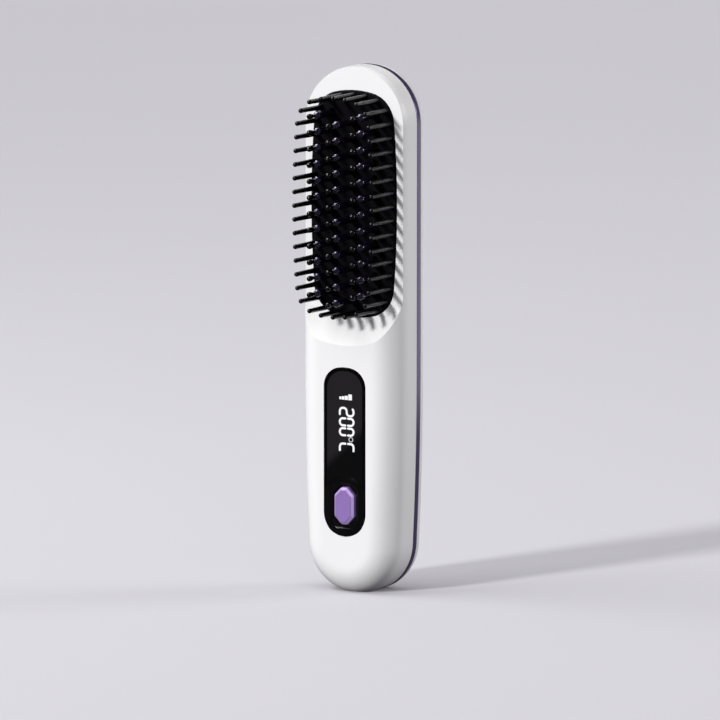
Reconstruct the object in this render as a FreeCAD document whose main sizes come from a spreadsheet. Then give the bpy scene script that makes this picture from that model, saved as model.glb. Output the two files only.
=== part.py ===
import FreeCAD, Part
import Sketcher
import math
import os

# Cordless hot styling brush, standing on its charging end.
# X runs across the width, +Z up the length, and the bristles point to -Y.
# The origin is the middle of the parting plane at the foot. A depth is a
# distance in front of the parting plane, so depth d lies at Y = -d.

doc = FreeCAD.newDocument("styling_brush")

SIZES = [
    # Casing
    ("body_width", 43.3),
    ("handle_length", 103.5),
    ("head_length", 96.5),
    ("front_depth", 17.0),
    ("front_round", 10.3),
    ("rear_depth", 8.9),
    ("rear_round", 5.6),
    ("wall", 1.8),
    ("panel_wall", 2.2),
    ("foot_cut", 0.9),
    ("taper_start", 82.0),
    ("side_radius", 1240.0),
    ("band_width", 3.0),
    ("band_thickness", 2.2),
    ("band_edge", 0.5),
    ("tab_length", 6.0),
    ("tab_thickness", 1.2),
    ("tab_reach", 2.2),
    ("tab_gap", 0.15),
    ("tab_first", 15.0),
    # Scoop that drops from the handle to the rim of the head
    ("rim_depth", 9.7),
    ("scoop_radius", 33.7),
    ("scoop_slope", 1.2),
    # Bristle plate
    ("plate_width", 36.9),
    ("plate_top_margin", 9.1),
    ("plate_bottom_margin", 1.3),
    ("plate_corner", 11.6),
    ("plate_side_radius", 390.0),
    ("plate_end_radius", 37.5),
    ("plate_proud", 0.8),
    ("plate_edge", 0.5),
    ("flange_width", 1.0),
    ("flange_thickness", 1.2),
    ("fit_gap", 0.15),
    # Slender bristles round the edge
    ("bristle_count", 40),
    ("bristle_inset", 1.75),
    ("bristle_base_radius", 0.95),
    ("bristle_tip_radius", 0.8),
    ("bristle_reach", 26.6),
    ("bristle_bevel", 0.35),
    # Heated teeth in three columns, with their guard tips
    ("tooth_rows", 12),
    ("tooth_column", 9.3),
    ("tooth_top_margin", 8.8),
    ("tooth_bottom_margin", 6.8),
    ("tooth_radius", 1.5),
    ("tooth_neck_radius", 0.8),
    ("tooth_shoulder", 1.7),
    ("tooth_reach", 28.4),
    ("tooth_crown", 1.9),
    ("tooth_air_gap", 0.3),
    ("guard_radius", 1.15),
    ("guard_length", 4.2),
    ("guard_flare", 0.5),
    ("guard_dome", 0.7),
    # Heater stack behind the bristle plate
    ("stack_gap", 0.1),
    ("heating_plate_inset", 3.0),
    ("heating_plate_thickness", 1.5),
    ("heater_width", 12.0),
    ("heater_end_margin", 5.0),
    ("heater_thickness", 1.2),
    ("mica_width", 20.0),
    ("mica_thickness", 0.4),
    ("clamp_width", 29.0),
    ("clamp_thickness", 0.8),
    ("clamp_end_margin", 2.5),
    ("post_radius", 2.0),
    ("post_column", 12.2),
    ("post_end_margin", 9.4),
    ("post_gap", 0.3),
    ("sensor_length", 5.0),
    ("fuse_radius", 1.3),
    ("fuse_length", 9.0),
    ("lead_radius", 0.55),
    ("lead_spacing", 6.0),
    ("lead_bend", 3.0),
    ("lead_clear", 0.5),
    # Control panel
    ("lens_width", 18.0),
    ("lens_bottom", 21.9),
    ("lens_top_margin", 17.1),
    ("lens_corner", 7.4),
    ("lens_crown", 15.8),
    ("lens_thickness", 1.2),
    ("lens_gap", 0.12),
    ("lens_edge", 0.25),
    ("adhesive_thickness", 0.2),
    ("adhesive_width", 1.5),
    ("display_width", 12.0),
    ("display_margin", 7.2),
    ("display_clear", 11.3),
    ("display_gap", 0.3),
    ("button_width", 8.4),
    ("button_height", 14.1),
    ("button_cut", 3.0),
    ("button_round", 1.3),
    ("button_margin", 4.7),
    ("button_proud", 1.3),
    ("button_bevel", 1.0),
    ("button_gap", 0.25),
    ("button_well", 1.0),
    ("button_flange", 1.0),
    ("button_flange_thickness", 0.8),
    ("button_rest_gap", 0.1),
    ("button_travel", 0.35),
    # Main board and its switch
    ("board_thickness", 0.8),
    ("board_setback", 2.4),
    ("board_width", 26.0),
    ("board_bottom", 18.5),
    ("board_above_lens", 7.8),
    ("board_screw_column", 10.5),
    ("board_screw_margin", 3.0),
    ("boss_radius", 2.2),
    ("switch_width", 6.0),
    ("switch_height", 1.0),
    ("plunger_radius", 1.5),
    ("plunger_gap", 0.1),
    ("contact_gap", 0.05),
    # Cells and their cradle
    ("cell_radius", 7.1),
    ("cell_length", 50.0),
    ("cell_gap", 0.4),
    ("cradle_clear", 1.0),
    ("cradle_base", 1.0),
    ("cradle_base_width", 16.0),
    ("cradle_end", 1.5),
    ("cell_seat_gap", 0.15),
    ("link_thickness", 0.25),
    ("link_width", 8.0),
    # Charging socket in the foot
    ("usb_width", 8.94),
    ("usb_height", 3.26),
    ("usb_length", 7.3),
    ("usb_wall", 0.3),
    ("usb_depth", 3.0),
    ("usb_recess", 0.3),
    ("usb_gap", 0.15),
    ("tongue_width", 6.7),
    ("tongue_thickness", 0.7),
    ("tongue_length", 4.6),
    ("charge_board_width", 18.4),
    ("charge_board_length", 14.0),
    ("charge_board_bottom", 4.0),
    # Screws
    ("screw_radius", 0.9),
    ("screw_head_radius", 1.8),
    ("screw_head_height", 1.0),
    ("screw_length", 3.6),
    ("screw_gap", 0.05),
    ("case_screw_column", 12.0),
    ("case_screw_height", 13.0),
    ("case_screw_radius", 1.1),
    ("case_screw_head_radius", 2.1),
    ("case_screw_head_height", 1.3),
    ("case_screw_length", 9.0),
    ("case_screw_sink", 0.3),
    ("case_boss_radius", 2.6),
]

# Places that follow from the sizes
PLACES = [
    ("half_width", "Sizes.body_width / 2"),
    ("body_length", "Sizes.handle_length + Sizes.head_length"),
    ("top_centre", "body_length - half_width"),
    ("rear_face", "0 - Sizes.rear_depth"),
    ("band_back", "0 - Sizes.band_width"),
    ("cavity_depth", "Sizes.front_depth - Sizes.panel_wall"),
    ("cavity_round", "Sizes.front_round - Sizes.wall"),
    ("rear_cavity_round", "Sizes.rear_round - Sizes.wall"),
    ("scoop_centre", "Sizes.handle_length + Sizes.scoop_radius"),
    ("head_floor", "Sizes.rim_depth - Sizes.wall"),
    ("plate_half", "Sizes.plate_width / 2"),
    ("plate_top", "body_length - Sizes.plate_top_margin"),
    ("plate_bottom", "Sizes.handle_length + Sizes.plate_bottom_margin"),
    ("plate_front", "Sizes.rim_depth + Sizes.plate_proud"),
    ("plate_middle", "(plate_bottom + plate_top) / 2"),
    ("flange_back", "head_floor - Sizes.flange_thickness"),
    ("heating_half", "plate_half - Sizes.heating_plate_inset"),
    ("heating_top", "plate_top - Sizes.heating_plate_inset"),
    ("heating_bottom", "plate_bottom + Sizes.heating_plate_inset"),
    ("heating_corner", "Sizes.plate_corner - Sizes.heating_plate_inset"),
    ("heating_front", "flange_back - Sizes.stack_gap"),
    ("heating_back", "heating_front - Sizes.heating_plate_thickness"),
    ("heater_back", "heating_back - Sizes.heater_thickness"),
    ("heater_top", "heating_top - Sizes.heater_end_margin"),
    ("heater_bottom", "heating_bottom + Sizes.heater_end_margin"),
    ("mica_back", "heater_back - Sizes.mica_thickness"),
    ("clamp_back", "mica_back - Sizes.clamp_thickness"),
    ("clamp_top", "heating_top - Sizes.clamp_end_margin"),
    ("clamp_bottom", "heating_bottom + Sizes.clamp_end_margin"),
    ("post_top", "heating_top - Sizes.post_end_margin"),
    ("post_bottom", "heating_bottom + Sizes.post_end_margin"),
    ("gap_middle", "(heating_back + heater_back) / 2"),
    ("lens_half", "Sizes.lens_width / 2"),
    ("lens_top", "Sizes.handle_length - Sizes.lens_top_margin"),
    ("lens_back", "Sizes.front_depth - Sizes.lens_thickness"),
    ("recess_floor", "lens_back - Sizes.adhesive_thickness"),
    ("button_half", "Sizes.button_width / 2"),
    ("button_bottom", "Sizes.lens_bottom + Sizes.button_margin"),
    ("button_top", "button_bottom + Sizes.button_height"),
    ("button_middle", "(button_bottom + button_top) / 2"),
    ("button_front", "Sizes.front_depth + Sizes.button_proud"),
    ("button_hole_half", "button_half + Sizes.button_gap"),
    ("button_hole_bottom", "button_bottom - Sizes.button_gap"),
    ("button_hole_top", "button_top + Sizes.button_gap"),
    ("button_hole_cut", "Sizes.button_cut + (2 - sqrt(2)) * Sizes.button_gap"),
    ("button_flange_half", "button_half + Sizes.button_flange"),
    ("button_flange_bottom", "button_bottom - Sizes.button_flange"),
    ("button_flange_top", "button_top + Sizes.button_flange"),
    ("button_flange_cut", "Sizes.button_cut + (2 - sqrt(2)) * Sizes.button_flange"),
    ("button_flange_front", "cavity_depth - Sizes.button_rest_gap"),
    ("button_back", "button_flange_front - Sizes.button_flange_thickness"),
    ("display_top", "lens_top - Sizes.display_margin"),
    ("display_bottom", "button_top + Sizes.display_clear"),
    ("board_front", "cavity_depth - Sizes.board_setback"),
    ("board_back", "board_front - Sizes.board_thickness"),
    ("board_top", "lens_top + Sizes.board_above_lens"),
    ("board_screw_top", "board_top - Sizes.board_screw_margin"),
    ("board_screw_bottom", "Sizes.board_bottom + Sizes.board_screw_margin"),
    ("switch_front", "board_front + Sizes.switch_height"),
    ("plunger_front", "button_back - Sizes.contact_gap"),
    ("plunger_back", "board_front + Sizes.button_travel + Sizes.plunger_gap + Sizes.contact_gap"),
    ("cradle_front", "board_back - Sizes.stack_gap"),
    ("cradle_floor", "cradle_front - Sizes.cradle_base"),
    ("cell_depth", "cradle_floor - Sizes.cell_seat_gap - Sizes.cell_radius"),
    ("cell_back", "cell_depth - Sizes.cell_radius"),
    ("cell_column", "Sizes.cell_radius + Sizes.cell_gap / 2"),
    ("cell_side", "cell_column + Sizes.cell_radius"),
    ("cradle_bottom", "Sizes.charge_board_bottom + Sizes.charge_board_length + Sizes.cradle_clear"),
    ("cell_bottom", "cradle_bottom + Sizes.cradle_end + Sizes.link_thickness"),
    ("cell_top", "cell_bottom + Sizes.cell_length"),
    ("cradle_top", "cell_top + Sizes.link_thickness + Sizes.cradle_end"),
    ("usb_half", "Sizes.usb_width / 2"),
    ("usb_thick_half", "Sizes.usb_height / 2"),
    ("usb_inner_half", "usb_half - Sizes.usb_wall"),
    ("usb_inner_thick", "usb_thick_half - Sizes.usb_wall"),
    ("usb_slot_half", "usb_half + Sizes.usb_gap"),
    ("usb_slot_thick", "usb_thick_half + Sizes.usb_gap"),
    ("usb_top", "Sizes.usb_recess + Sizes.usb_length"),
    ("tongue_root", "usb_top - Sizes.usb_wall"),
    ("charge_board_front", "Sizes.usb_depth - usb_thick_half - Sizes.contact_gap"),
    ("charge_board_back", "charge_board_front - Sizes.board_thickness"),
    ("cover_inside", "rear_face + Sizes.wall"),
    ("case_screw_seat", "rear_face + Sizes.case_screw_sink"),
]


def make_sheet(name, rows, formula):
    """One row per value: its name beside the number or formula that the name stands for."""
    sheet = doc.addObject("Spreadsheet::Sheet", name)
    for row, (alias, content) in enumerate(rows, start=1):
        sheet.set(f"A{row}", alias)
        sheet.setAlias(f"B{row}", alias)
        sheet.set(f"B{row}", f"={content}" if formula else str(content))
    doc.recompute()
    return sheet


sizes = make_sheet("Sizes", SIZES, formula=False)
places = make_sheet("Places", PLACES, formula=True)
SHEET_OF = {alias: sizes for alias, _ in SIZES}
SHEET_OF.update({alias: places for alias, _ in PLACES})


def value(alias):
    return float(SHEET_OF[alias].get(alias))


def ref(alias):
    return f"{SHEET_OF[alias].Name}.{alias}"


def bind(item, **properties):
    for name, expression in properties.items():
        item.setExpression(name, expression)


def place_at(item, x="0", depth="0", height="0"):
    item.setExpression("Placement.Base.x", x)
    item.setExpression("Placement.Base.y", f"0 - ({depth})")
    item.setExpression("Placement.Base.z", height)


# Part primitives and booleans, with sizes given as expressions

def block(name, x_range, depth_range, height_range):
    """A box from the first to the second of each pair of expressions."""
    item = doc.addObject("Part::Box", name)
    bind(item, Length=f"({x_range[1]}) - ({x_range[0]})",
         Width=f"({depth_range[1]}) - ({depth_range[0]})",
         Height=f"({height_range[1]}) - ({height_range[0]})")
    place_at(item, x_range[0], depth_range[1], height_range[0])
    return item


FACING_FRONT = FreeCAD.Rotation(FreeCAD.Vector(1, 0, 0), 90)


def rod(name, radius, x, height, back, front):
    """A cylinder that runs forwards from one depth to another."""
    item = doc.addObject("Part::Cylinder", name)
    item.Placement = FreeCAD.Placement(FreeCAD.Vector(), FACING_FRONT)
    bind(item, Radius=radius, Height=f"({front}) - ({back})")
    place_at(item, x, back, height)
    return item


def upright(name, radius, x, depth, bottom, top):
    """A cylinder that stands along the length of the body."""
    item = doc.addObject("Part::Cylinder", name)
    bind(item, Radius=radius, Height=f"({top}) - ({bottom})")
    place_at(item, x, depth, bottom)
    return item


def cone(name, back_radius, front_radius, x, height, back, front):
    item = doc.addObject("Part::Cone", name)
    item.Placement = FreeCAD.Placement(FreeCAD.Vector(), FACING_FRONT)
    bind(item, Radius1=back_radius, Radius2=front_radius, Height=f"({front}) - ({back})")
    place_at(item, x, back, height)
    return item


def cut(name, base, tool):
    item = doc.addObject("Part::Cut", name)
    item.Base = base
    item.Tool = tool
    item.Refine = True
    return item


def fuse(name, shapes):
    item = doc.addObject("Part::MultiFuse", name)
    item.Shapes = shapes
    item.Refine = True
    return item


def common(name, first, second):
    item = doc.addObject("Part::Common", name)
    item.Base = first
    item.Tool = second
    return item


# Sketches

START, END, CENTRE = range(1, 4)
ORIGIN, VERTICAL_AXIS = (-1, START), -2


def new_sketch(body, name, role="XZ_Plane", offset="0"):
    """A sketch on one of the body's own origin planes, moved along its normal."""
    sketch = body.newObject("Sketcher::SketchObject", name)
    plane = [item for item in body.Origin.OriginFeatures if item.Role == role][0]
    sketch.AttachmentSupport = (plane, [""])
    sketch.MapMode = "FlatFace"
    sketch.setExpression("AttachmentOffset.Base.z", offset)
    return sketch


def constrain(sketch, *arguments, expression=None):
    index = sketch.addConstraint(Sketcher.Constraint(*arguments))
    if expression:
        sketch.setExpression(f"Constraints[{index}]", expression)


def line(sketch, start, end):
    points = [FreeCAD.Vector(x, y, 0) for x, y in (start, end)]
    return sketch.addGeometry(Part.LineSegment(*points), False)


def arc(sketch, centre, radius, from_angle, to_angle):
    """An arc that runs anticlockwise between two angles in radians."""
    circle = Part.Circle(FreeCAD.Vector(*centre, 0), FreeCAD.Vector(0, 0, 1), radius)
    return sketch.addGeometry(Part.ArcOfCircle(circle, from_angle, to_angle), False)


def join_smoothly(sketch, loop):
    """Tangent joints round a loop of (curve, first end, second end)."""
    for (one, _, one_end), (two, two_start, _) in zip(loop, loop[1:] + loop[:1]):
        constrain(sketch, "Tangent", one, one_end, two, two_start)


def draw_outline(sketch, inset=None):
    """The body's outline: round top, straight sides that draw in below, round foot."""
    away = value(inset) if inset else 0.0
    less = f" - {ref(inset)}" if inset else ""
    half = value("half_width")
    side = value("side_radius")
    taper = value("taper_start")
    top_centre = value("top_centre")
    apex = away - value("foot_cut")
    rise = taper - apex
    side_reach = side - half
    big = side - away
    foot = (big ** 2 - side_reach ** 2 - rise ** 2) / (2 * (big - rise))
    turn = math.atan2(taper - apex - foot, side_reach)
    width = half - away
    top = arc(sketch, (0, top_centre), width, 0, math.pi)
    left = line(sketch, (-width, top_centre), (-width, taper))
    left_low = arc(sketch, (side_reach, taper), big, math.pi, math.pi + turn)
    bottom = arc(sketch, (0, apex + foot), foot, math.pi + turn, 2 * math.pi - turn)
    right_low = arc(sketch, (-side_reach, taper), big, -turn, 0)
    right = line(sketch, (width, taper), (width, top_centre))
    join_smoothly(sketch, [(top, START, END), (left, START, END), (left_low, START, END),
                           (bottom, START, END), (right_low, START, END), (right, START, END)])
    constrain(sketch, "Vertical", left)
    constrain(sketch, "Vertical", right)
    constrain(sketch, "PointOnObject", top, CENTRE, VERTICAL_AXIS)
    constrain(sketch, "DistanceY", *ORIGIN, top, CENTRE, top_centre, expression=ref("top_centre"))
    constrain(sketch, "Radius", top, width, expression=f"{ref('half_width')}{less}")
    for curve in (left_low, right_low):
        constrain(sketch, "Radius", curve, big, expression=f"{ref('side_radius')}{less}")
        constrain(sketch, "DistanceY", *ORIGIN, curve, CENTRE, taper, expression=ref("taper_start"))
    lowest = sketch.addGeometry(Part.Point(FreeCAD.Vector(0, apex, 0)), True)
    constrain(sketch, "PointOnObject", lowest, START, bottom)
    constrain(sketch, "PointOnObject", lowest, START, VERTICAL_AXIS)
    constrain(sketch, "DistanceY", lowest, START, bottom, CENTRE, foot)
    sketch.setExpression(f"Constraints[{sketch.ConstraintCount - 1}]", foot_radius_expression(inset))


def foot_radius_expression(inset):
    """The foot's radius, from the side arcs that it runs into."""
    less = f" - {ref(inset)}" if inset else ""
    side = ref("side_radius")
    reach = f"({side} - {ref('half_width')})"
    rise = f"({ref('taper_start')} + {ref('foot_cut')})"
    return f"({side} ^ 2 - {reach} ^ 2 - {rise} ^ 2) / (2 * ({side} - {rise})){less}"


def draw_rounded_rectangle(sketch, half, bottom, top, corner):
    """A rectangle about the vertical axis with round corners, sized by four named values."""
    wide, low, high, round_ = (value(alias) for alias in (half, bottom, top, corner))
    quarter = math.pi / 2
    near = wide - round_
    loop = []
    corners = [((near, high - round_), 0), ((-near, high - round_), 1),
               ((-near, low + round_), 2), ((near, low + round_), 3)]
    sides = [((near, high), (-near, high)), ((-wide, high - round_), (-wide, low + round_)),
             ((-near, low), (near, low)), ((wide, low + round_), (wide, high - round_))]
    for (centre, turn), (start, end) in zip(corners, sides):
        loop.append((arc(sketch, centre, round_, turn * quarter, (turn + 1) * quarter), START, END))
        loop.append((line(sketch, start, end), START, END))
    join_smoothly(sketch, loop)
    upper, left, lower, right = (loop[index][0] for index in (1, 3, 5, 7))
    for edge in (upper, lower):
        constrain(sketch, "Horizontal", edge)
    for edge in (left, right):
        constrain(sketch, "Vertical", edge)
    for index in (2, 4, 6):
        constrain(sketch, "Equal", loop[0][0], loop[index][0])
    constrain(sketch, "Radius", loop[0][0], round_, expression=ref(corner))
    constrain(sketch, "DistanceX", *ORIGIN, right, START, wide, expression=ref(half))
    constrain(sketch, "DistanceX", left, START, *ORIGIN, wide, expression=ref(half))
    constrain(sketch, "DistanceY", *ORIGIN, lower, START, low, expression=ref(bottom))
    constrain(sketch, "DistanceY", *ORIGIN, upper, START, high, expression=ref(top))


def plate_arcs(more):
    """(centre, radius, from, to) of the arcs up the right half of the plate's outline, grown by more."""
    half, side, end, corner = (value(alias) for alias in ("plate_half", "plate_side_radius",
                                                          "plate_end_radius", "plate_corner"))
    middle = value("plate_middle")
    across = side - half
    rise = value("plate_top") - end - middle
    apart = math.hypot(across, rise)
    along = ((side - corner) ** 2 - (end - corner) ** 2 + apart ** 2) / (2 * apart)
    off = math.sqrt((side - corner) ** 2 - along ** 2)
    corner_x = (across * along - rise * off) / apart - across
    corner_rise = (rise * along + across * off) / apart
    side_turn = math.atan2(corner_rise, corner_x + across)
    end_turn = math.atan2(corner_rise - rise, corner_x)
    return [((0, middle - rise), end + more, -math.pi / 2, -end_turn),
            ((corner_x, middle - corner_rise), corner + more, -end_turn, -side_turn),
            ((-across, middle), side + more, -side_turn, side_turn),
            ((corner_x, middle + corner_rise), corner + more, side_turn, end_turn),
            ((0, middle + rise), end + more, end_turn, math.pi / 2)]


def draw_plate(sketch, more=None):
    """The bristle plate's outline, a cushion of eight arcs, grown all round by a named value."""
    plus = f" + {ref(more)}" if more else ""
    foot, low, side, high, head = plate_arcs(value(more) if more else 0.0)
    bottom = arc(sketch, *foot[:2], -math.pi - foot[3], foot[3])
    right = [arc(sketch, *part) for part in (low, side, high)]
    top = arc(sketch, *head[:2], head[2], math.pi - head[2])
    left = [arc(sketch, (-x, height), radius, math.pi - end, math.pi - start)
            for (x, height), radius, start, end in (high, side, low)]
    join_smoothly(sketch, [(curve, START, END) for curve in [bottom] + right + [top] + left])
    end_radius, side_radius = ref("plate_end_radius"), ref("plate_side_radius")
    for curve, (_, height), centre in ((bottom, foot[0], f"{ref('plate_bottom')} + {end_radius}"),
                                       (top, head[0], f"{ref('plate_top')} - {end_radius}")):
        constrain(sketch, "PointOnObject", curve, CENTRE, VERTICAL_AXIS)
        constrain(sketch, "Radius", curve, head[1], expression=f"{end_radius}{plus}")
        constrain(sketch, "DistanceY", *ORIGIN, curve, CENTRE, height, expression=centre)
    for curve in (right[1], left[1]):
        constrain(sketch, "Radius", curve, side[1], expression=f"{side_radius}{plus}")
        constrain(sketch, "DistanceY", *ORIGIN, curve, CENTRE, side[0][1], expression=ref("plate_middle"))
    across = f"{side_radius} - {ref('plate_half')}"
    constrain(sketch, "DistanceX", right[1], CENTRE, *ORIGIN, -side[0][0], expression=across)
    constrain(sketch, "DistanceX", *ORIGIN, left[1], CENTRE, -side[0][0], expression=across)
    constrain(sketch, "Radius", right[0], low[1], expression=f"{ref('plate_corner')}{plus}")
    for curve in (right[2], left[0], left[2]):
        constrain(sketch, "Equal", right[0], curve)


def draw_panel(sketch, more=None, sign="+"):
    """The control panel's outline, full round below and flatter above, moved out or in by a named value."""
    change = f" {sign} {ref(more)}" if more else ""
    away = float(f"{sign}{value(more)}") if more else 0.0
    half, corner, crown = (value(alias) + away for alias in ("lens_half", "lens_corner", "lens_crown"))
    low = value("lens_bottom") + value("lens_half")
    high = value("lens_top") - value("lens_crown")
    near = half - corner
    rise = math.sqrt((crown - corner) ** 2 - near ** 2)
    turn = math.atan2(rise, near)
    right = line(sketch, (half, low), (half, high + rise))
    upper_right = arc(sketch, (near, high + rise), corner, 0, turn)
    top = arc(sketch, (0, high), crown, turn, math.pi - turn)
    upper_left = arc(sketch, (-near, high + rise), corner, math.pi - turn, math.pi)
    left = line(sketch, (-half, high + rise), (-half, low))
    bottom = arc(sketch, (0, low), half, math.pi, 2 * math.pi)
    join_smoothly(sketch, [(curve, START, END)
                           for curve in (right, upper_right, top, upper_left, left, bottom)])
    constrain(sketch, "Vertical", right)
    constrain(sketch, "Vertical", left)
    constrain(sketch, "Equal", upper_right, upper_left)
    constrain(sketch, "Radius", upper_right, corner, expression=f"{ref('lens_corner')}{change}")
    for curve, radius, name, height, centre in (
            (bottom, half, "lens_half", low, f"{ref('lens_bottom')} + {ref('lens_half')}"),
            (top, crown, "lens_crown", high, f"{ref('lens_top')} - {ref('lens_crown')}")):
        constrain(sketch, "PointOnObject", curve, CENTRE, VERTICAL_AXIS)
        constrain(sketch, "Radius", curve, radius, expression=f"{ref(name)}{change}")
        constrain(sketch, "DistanceY", *ORIGIN, curve, CENTRE, height, expression=centre)


def draw_octagon(sketch, half, bottom, top, corner_cut):
    """An upright rectangle about the vertical axis with its corners cut at 45 degrees."""
    wide, low, high, less = (value(alias) for alias in (half, bottom, top, corner_cut))
    near = wide - less
    points = [(wide, low + less), (wide, high - less), (near, high), (-near, high),
              (-wide, high - less), (-wide, low + less), (-near, low), (near, low)]
    edges = [line(sketch, start, end) for start, end in zip(points, points[1:] + points[:1])]
    for one, two in zip(edges, edges[1:] + edges[:1]):
        constrain(sketch, "Coincident", one, END, two, START)
    right, upper_right, upper, upper_left, left, lower_left, lower, lower_right = edges
    for edge in (right, left):
        constrain(sketch, "Vertical", edge)
    for edge in (upper, lower):
        constrain(sketch, "Horizontal", edge)
    for edge, to_right, to_top in ((upper_right, (END, START), (START, END)),
                                   (upper_left, (END, START), (END, START)),
                                   (lower_left, (START, END), (END, START)),
                                   (lower_right, (START, END), (START, END))):
        for axis, (first, second) in (("DistanceX", to_right), ("DistanceY", to_top)):
            constrain(sketch, axis, edge, first, edge, second, less, expression=ref(corner_cut))
    constrain(sketch, "DistanceX", *ORIGIN, right, START, wide, expression=ref(half))
    constrain(sketch, "DistanceX", left, START, *ORIGIN, wide, expression=ref(half))
    constrain(sketch, "DistanceY", *ORIGIN, lower, START, low, expression=ref(bottom))
    constrain(sketch, "DistanceY", *ORIGIN, upper, START, high, expression=ref(top))


def draw_usb_slot(sketch, half, thick):
    """The flat round-ended section of the charging socket, about the socket's own depth."""
    wide, round_, depth = value(half), value(thick), value("usb_depth")
    near = wide - round_
    quarter = math.pi / 2
    right = arc(sketch, (near, -depth), round_, -quarter, quarter)
    front = line(sketch, (near, round_ - depth), (-near, round_ - depth))
    left = arc(sketch, (-near, -depth), round_, quarter, 3 * quarter)
    back = line(sketch, (-near, -round_ - depth), (near, -round_ - depth))
    join_smoothly(sketch, [(item, START, END) for item in (right, front, left, back)])
    constrain(sketch, "Horizontal", front)
    constrain(sketch, "Radius", right, round_, expression=ref(thick))
    for centre in (right, left):
        constrain(sketch, "DistanceY", centre, CENTRE, *ORIGIN, depth, expression=ref("usb_depth"))
    constrain(sketch, "DistanceX", *ORIGIN, right, CENTRE, near, expression=f"{ref(half)} - {ref(thick)}")
    constrain(sketch, "DistanceX", left, CENTRE, *ORIGIN, near, expression=f"{ref(half)} - {ref(thick)}")


# Bodies

def new_body(label):
    body = doc.addObject("PartDesign::Body", label)
    body.Label = label
    return body


def pad(body, draw, back, front, *arguments, role="XZ_Plane"):
    """Adds the drawn section to the body, from one depth forwards to another."""
    number = len(body.Group)
    sketch = new_sketch(body, f"{body.Name}_sketch_{number}", role, back)
    draw(sketch, *arguments)
    feature = body.newObject("PartDesign::Pad", f"{body.Name}_pad_{number}")
    feature.Profile = sketch
    feature.setExpression("Length", f"({front}) - ({back})")
    doc.recompute()
    return feature


def pocket(body, draw, back, front, *arguments, role="XZ_Plane"):
    """Takes the drawn section out of the body, from the front depth back to the other."""
    number = len(body.Group)
    before = body.Shape.Volume
    sketch = new_sketch(body, f"{body.Name}_sketch_{number}", role, front)
    draw(sketch, *arguments)
    feature = body.newObject("PartDesign::Pocket", f"{body.Name}_pocket_{number}")
    feature.Profile = sketch
    feature.setExpression("Length", f"({front}) - ({back})")
    doc.recompute()
    if not body.Shape.Volume < before:
        raise RuntimeError(f"the pocket in {body.Label} took nothing away")
    return feature


def edges_at_depth(feature, depth, inside=None):
    """Names of the edges that lie wholly at one depth, and inside a box of (x, height) if given."""
    names = []
    for number, edge in enumerate(feature.Shape.Edges, start=1):
        box = edge.BoundBox
        if abs(box.YMin + depth) > 1e-4 or abs(box.YMax + depth) > 1e-4:
            continue
        if inside:
            half, bottom, top = inside
            if max(-box.XMin, box.XMax) > half or box.ZMin < bottom or box.ZMax > top:
                continue
        names.append(f"Edge{number}")
    return names


def edges_along_depth(feature):
    """Names of the edges that run straight from back to front."""
    return [f"Edge{number}" for number, edge in enumerate(feature.Shape.Edges, start=1)
            if edge.BoundBox.XLength < 1e-4 and edge.BoundBox.ZLength < 1e-4]


def dress(body, kind, feature, edge_names, size):
    """A fillet or chamfer of named size on the given edges."""
    item = body.newObject(f"PartDesign::{kind}", f"{body.Name}_{kind.lower()}_{len(body.Group)}")
    item.Base = (feature, edge_names)
    item.setExpression("Radius" if kind == "Fillet" else "Size", size)
    doc.recompute()
    return item


def prism(label, draw, back, front, *arguments, role="XZ_Plane"):
    body = new_body(label)
    pad(body, draw, back, front, *arguments, role=role)
    return body


def solid_group(label, shapes):
    """Repeats made by code, one node of separate solids."""
    item = doc.addObject("Part::Feature", label)
    item.Shape = Part.makeCompound(shapes)
    item.Placement = FreeCAD.Placement()
    return item


MIRRORED = (("left", "-"), ("right", ""))
BEYOND = "60"

nodes = []


def keep(item, label):
    item.Label = label
    nodes.append(item)
    return item


# Casing

def scoop_tool(name, floor, radius_more):
    """What the scoop takes away: a cone below the head and everything in front of its rim."""
    radius = f"Sizes.scoop_radius + {radius_more}"
    wide = f"{radius} + Sizes.scoop_slope * {BEYOND}"
    bowl = cone(f"{name}_bowl", radius, wide, "0", ref("scoop_centre"), floor, f"{floor} + {BEYOND}")
    front = block(f"{name}_front", (f"-{BEYOND}", BEYOND), (floor, f"{floor} + {BEYOND}"),
                  (ref("scoop_centre"), f"{ref('scoop_centre')} + 3 * {BEYOND}"))
    return fuse(name, [bowl, front])


def ground_tool(name):
    """Everything below the foot."""
    return block(name, (f"-{BEYOND}", BEYOND), (f"-{BEYOND}", BEYOND), (f"-{BEYOND}", "0"))


def front_outer_form():
    body = new_body("front_outer")
    form = pad(body, draw_outline, "0", ref("front_depth"))
    dress(body, "Fillet", form, edges_at_depth(form, value("front_depth")), ref("front_round"))
    scoop = scoop_tool("scoop", ref("rim_depth"), "0")
    return cut("front_form", body, fuse("front_waste", [scoop, ground_tool("front_ground")]))


def front_cavity_form():
    body = new_body("front_cavity")
    form = pad(body, draw_outline, "0", ref("cavity_depth"), "wall")
    dress(body, "Fillet", form, edges_at_depth(form, value("cavity_depth")), ref("cavity_round"))
    return cut("front_hollow", body, scoop_tool("scoop_inside", ref("head_floor"), "Sizes.wall"))


def front_bosses():
    """Screw bosses: four for the main board, two for the rear cover."""
    items = []
    for side, sign in MIRRORED:
        for end in ("board_screw_top", "board_screw_bottom"):
            items.append(rod(f"boss_{end}_{side}", ref("boss_radius"), f"{sign}Sizes.board_screw_column",
                             ref(end), ref("board_front"), ref("front_depth")))
        items.append(rod(f"case_boss_{side}", ref("case_boss_radius"), f"{sign}Sizes.case_screw_column",
                         ref("case_screw_height"), f"{ref('band_back')} + Sizes.contact_gap",
                         ref("front_depth")))
    return items


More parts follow.
